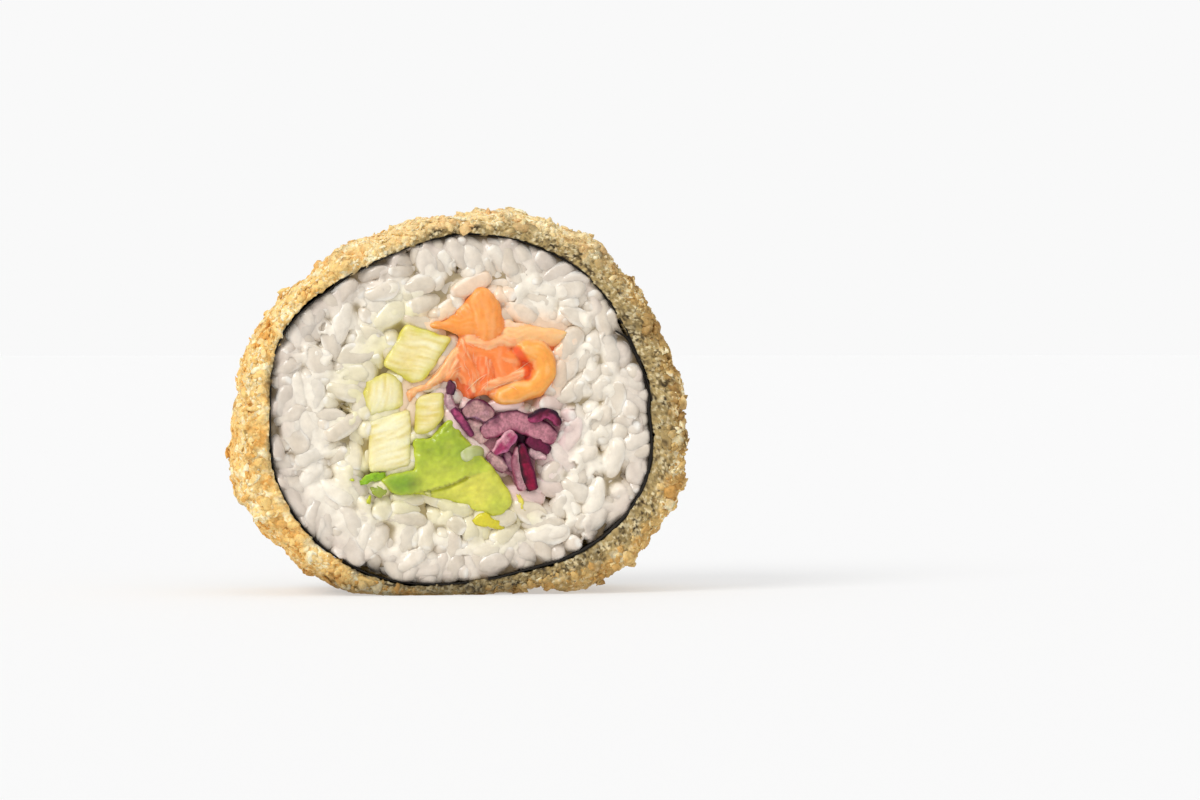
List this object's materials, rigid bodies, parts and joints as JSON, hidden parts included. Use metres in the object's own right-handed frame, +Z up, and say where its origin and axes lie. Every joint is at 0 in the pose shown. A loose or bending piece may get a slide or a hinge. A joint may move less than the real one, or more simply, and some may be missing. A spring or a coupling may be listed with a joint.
{
  "type": "panko salmon futomaki slice",
  "caption": "Cut slice of a thick fried sushi roll standing on its rim: panko crust, seaweed, rice, cucumber, avocado, salmon and red cabbage.",
  "frame": {"origin": "under the middle of the slice, on the surface that it stands on", "axes": "+Z up; the roll's axis lies along Y and the cut face in the picture looks towards -Y; +X to the right of that face"},
  "size_m": [0.0756, 0.0276, 0.0628],
  "materials": {
    "fried_panko": "rough golden fried breadcrumbs",
    "seaweed": "thin near-black seaweed with a faint gloss",
    "sushi_rice": "moist translucent white grains",
    "cucumber_flesh": "wet pale yellow-green flesh",
    "avocado_flesh": "buttery yellow-green flesh",
    "salmon_flesh": "soft moist orange flakes",
    "cabbage_leaf": "purple-red leaf with pale cut edges"
  },
  "bodies": {
    "root": {"crust": "fried_panko", "nori": "seaweed", "rice": "sushi_rice", "cucumber_top": "cucumber_flesh", "cucumber_left": "cucumber_flesh", "cucumber_lower": "cucumber_flesh", "cucumber_right": "cucumber_flesh", "avocado": "avocado_flesh", "salmon": "salmon_flesh", "red_cabbage": "cabbage_leaf"}
  },
  "joints": []
}
